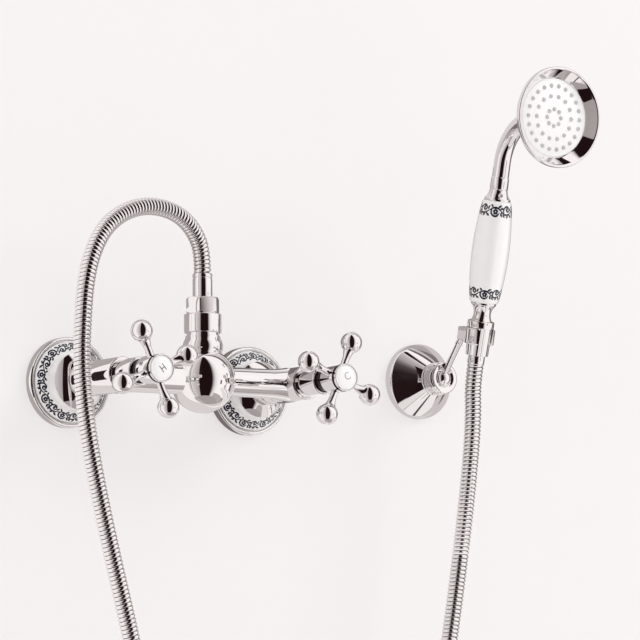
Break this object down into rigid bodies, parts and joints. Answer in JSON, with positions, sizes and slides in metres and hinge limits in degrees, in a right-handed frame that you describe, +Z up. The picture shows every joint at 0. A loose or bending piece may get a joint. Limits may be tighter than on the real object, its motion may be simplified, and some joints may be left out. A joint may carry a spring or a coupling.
{
  "type": "wall-mounted shower mixer",
  "caption": "Wall-mounted bath shower mixer with cross handles, ball body, upward hose outlet, ribbed hose and a porcelain-grip handset on a swivelling wall cradle.",
  "frame": {"origin": "on the wall, midway between the two inlets' axes", "axes": "+Z up, the object's front faces -Y and the wall is the plane y = 0, +X to the right when facing the wall"},
  "size_m": [0.4211, 0.2327, 0.7642],
  "materials": {
    "chrome": "polished",
    "porcelain": "glazed white with a dark blue scroll band",
    "seal_rubber": "matte",
    "disc_ceramic": "lapped",
    "brass": "as machined",
    "white_plastic": "gloss",
    "plain_plastic": "matte",
    "steel": "zinc plated",
    "hose_liner": "matte",
    "hose_metal": "chromed spiral"
  },
  "bodies": {
    "mixer": {"flange_hot": "chrome", "flange_cold": "chrome", "flange_ring_hot": "porcelain", "flange_ring_cold": "porcelain", "flange_collar_hot": "chrome", "flange_collar_cold": "chrome", "wall_union_hot": "brass", "wall_union_cold": "brass", "bonnet_hot": "chrome", "bonnet_cold": "chrome", "union_nuts": "chrome", "union_washers": "seal_rubber", "inlet_strainers": "plain_plastic", "mixer_body": "chrome", "cartridge_shells": "brass", "fixed_discs": "disc_ceramic", "seat_seals": "seal_rubber", "stem_seals": "seal_rubber", "outlet_washers": "seal_rubber", "outlet_spigot": "brass", "outlet_nut": "chrome", "hose_nut": "chrome", "hose_ferrule": "chrome", "hose_sheath": "hose_metal", "hose_liner": "hose_liner", "bracket_plate": "steel", "bracket_screws": "steel", "bracket_cone": "chrome", "bracket_grub": "steel", "socket_pad": "plain_plastic"},
    "hot_handle": {"hot_hub": "chrome", "hot_arms": "chrome", "hot_index_cap": "white_plastic", "hot_handle_screw": "steel", "hot_set_screw": "steel", "hot_spindle": "brass", "hot_moving_disc": "disc_ceramic"},
    "cold_handle": {"cold_hub": "chrome", "cold_arms": "chrome", "cold_index_cap": "white_plastic", "cold_handle_screw": "steel", "cold_set_screw": "steel", "cold_spindle": "brass", "cold_moving_disc": "disc_ceramic"},
    "socket": {"socket_collar": "chrome"},
    "holder": {"ball_rod": "chrome", "cradle": "chrome"},
    "hose_end": {"cone_ferrule": "chrome"},
    "handset": {"cone_nut": "chrome", "cone_washer": "seal_rubber", "lower_collar": "chrome", "grip": "porcelain", "water_tube": "brass", "upper_collar": "chrome", "neck": "chrome", "head_shell": "chrome", "spray_plate": "white_plastic", "nozzle_mat": "seal_rubber", "head_seal": "seal_rubber"}
  },
  "joints": [
    {"name": "hot_turn", "type": "hinge", "parent": "mixer", "child": "hot_handle", "pos_m": [-0.0825, -0.133, 0], "axis": [0, -1, 0], "range_deg": [0, 90]},
    {"name": "cold_turn", "type": "hinge", "parent": "mixer", "child": "cold_handle", "pos_m": [0.0825, -0.133, 0], "axis": [0, 1, 0], "range_deg": [0, 90]},
    {"name": "socket_swivel", "type": "hinge", "parent": "mixer", "child": "socket", "pos_m": [0.2483, -0.037, 0.0146], "axis": [0, 1, 0], "range_deg": [-60, 60], "deforming": ["hose_sheath", "hose_liner"]},
    {"name": "holder_tilt", "type": "hinge", "parent": "socket", "child": "holder", "pos_m": [0.2483, -0.037, 0.0146], "axis": [-1, 0, 0], "range_deg": [-45, 15], "deforming": ["hose_sheath", "hose_liner"]},
    {"name": "handset_lift", "type": "slide", "parent": "holder", "child": "hose_end", "axis": [0, -0.2453, 0.9694], "range_m": [0, 0.03], "deforming": ["hose_sheath", "hose_liner"]},
    {"name": "handset_spin", "type": "hinge", "parent": "hose_end", "child": "handset", "pos_m": [0.2483, -0.0885, 0.0446], "axis": [0, -0.2453, 0.9694], "continuous": true}
  ]
}
